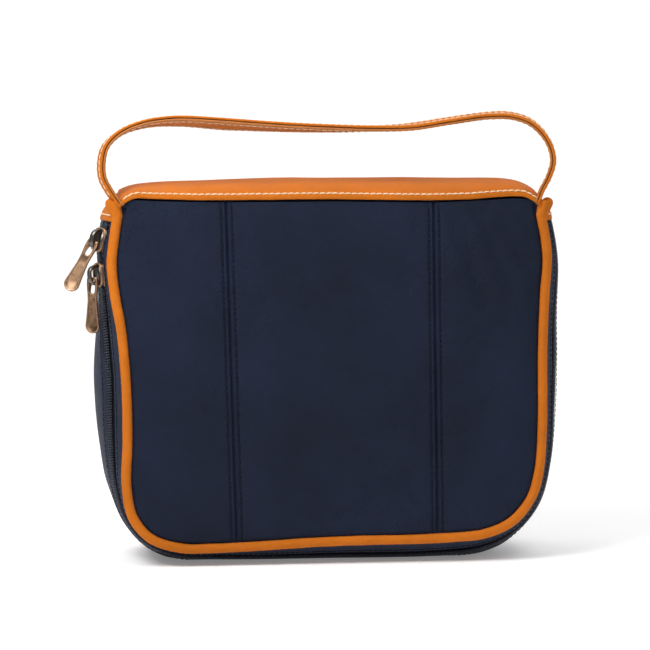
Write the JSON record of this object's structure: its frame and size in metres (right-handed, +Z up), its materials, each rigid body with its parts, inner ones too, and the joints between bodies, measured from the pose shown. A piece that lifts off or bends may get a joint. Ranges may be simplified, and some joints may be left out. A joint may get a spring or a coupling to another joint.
{
  "type": "shaving kit bag",
  "caption": "Leather shaving kit bag: a zip-round case with a hinged front lid, contrast piping, a domed top and a carrying handle.",
  "frame": {"origin": "middle of the flat underside that the bag stands on", "axes": "+X to the bag's right seen from the front, front face towards -Y, +Z up"},
  "size_m": [0.2873, 0.0842, 0.2577],
  "materials": {
    "navy_leather": "soft full-grain cowhide, very dark navy blue, satin",
    "tan_leather": "vegetable-tanned cowhide, warm orange tan, satin",
    "zip_tape": "woven polyester tape, dark navy",
    "zip_coil": "moulded nylon coil, dark navy, slightly glossy",
    "lining_cloth": "woven polyester lining, dark grey-blue",
    "pocket_mesh": "knitted polyester mesh, dark",
    "elastic": "woven elastic webbing, dark",
    "piping_cord": "twisted cotton cord inside the piping, hidden",
    "foam": "closed-cell foam padding, hidden",
    "stiffener_board": "thin stiffening board, hidden",
    "antique_copper": "antiqued copper plate over zinc alloy, rubbed bright on its edges",
    "gunmetal": "dark gunmetal plate"
  },
  "bodies": {
    "bag": {"back_panel": "navy_leather", "back_board": "stiffener_board", "back_lining": "lining_cloth", "elastic_loop_band": "elastic", "back_piping": "tan_leather", "back_piping_cord": "piping_cord", "rear_gusset": "navy_leather", "gusset_lining": "lining_cloth", "rear_zip_tape": "zip_tape", "rear_zip_coil": "zip_coil", "front_zip_tape_closed_end": "zip_tape", "front_zip_coil_closed_end": "zip_coil", "base_board": "stiffener_board", "top_panel": "tan_leather", "top_lining": "lining_cloth", "left_handle_tab": "tan_leather", "right_handle_tab": "tan_leather", "left_gusset_end_tab": "tan_leather", "right_gusset_end_tab": "tan_leather", "upper_slider_body": "antique_copper", "upper_slider_bridge": "gunmetal"},
    "lid": {"front_left_panel": "navy_leather", "front_centre_panel": "navy_leather", "front_right_panel": "navy_leather", "front_piping": "tan_leather", "front_piping_cord": "piping_cord", "front_gusset_strip": "navy_leather", "lid_foam_pad": "foam", "lid_lining": "lining_cloth", "lid_mesh_pocket": "pocket_mesh", "lid_pocket_binding": "tan_leather", "lid_gusset_lining": "lining_cloth", "front_zip_tape": "zip_tape", "front_zip_coil": "zip_coil"},
    "handle": {"handle_outer_strap": "tan_leather", "handle_inner_strap": "tan_leather"},
    "upper_pull": {"upper_pull_tab": "antique_copper"},
    "lower_slider": {"lower_slider_body": "antique_copper", "lower_slider_bridge": "gunmetal"},
    "lower_pull": {"lower_pull_tab": "antique_copper"}
  },
  "joints": [
    {"name": "lid_hinge", "type": "hinge", "parent": "bag", "child": "lid", "pos_m": [0, -0.0419, 0.2082], "axis": [-1, 0, 0], "range_deg": [0, 110]},
    {"name": "handle_swing", "type": "hinge", "parent": "bag", "child": "handle", "pos_m": [0, -0.0345, 0.2135], "axis": [1, 0, 0], "range_deg": [-55, 40], "stiffness_Nm_per_rad": 0.02},
    {"name": "upper_pull_swing", "type": "hinge", "parent": "bag", "child": "upper_pull", "pos_m": [-0.13584, -0.02515, 0.18511], "axis": [-0.1825, 0.982, 0.0488], "range_deg": [0, 80]},
    {"name": "lower_slider_travel", "type": "slide", "parent": "bag", "child": "lower_slider", "axis": [0.0634, 0, -0.998], "range_m": [0, 0.05]},
    {"name": "lower_pull_swing", "type": "hinge", "parent": "lower_slider", "child": "lower_pull", "pos_m": [-0.13547, -0.02588, 0.16364], "axis": [-0.3082, 0.9511, -0.0196], "range_deg": [-3, 35]}
  ]
}
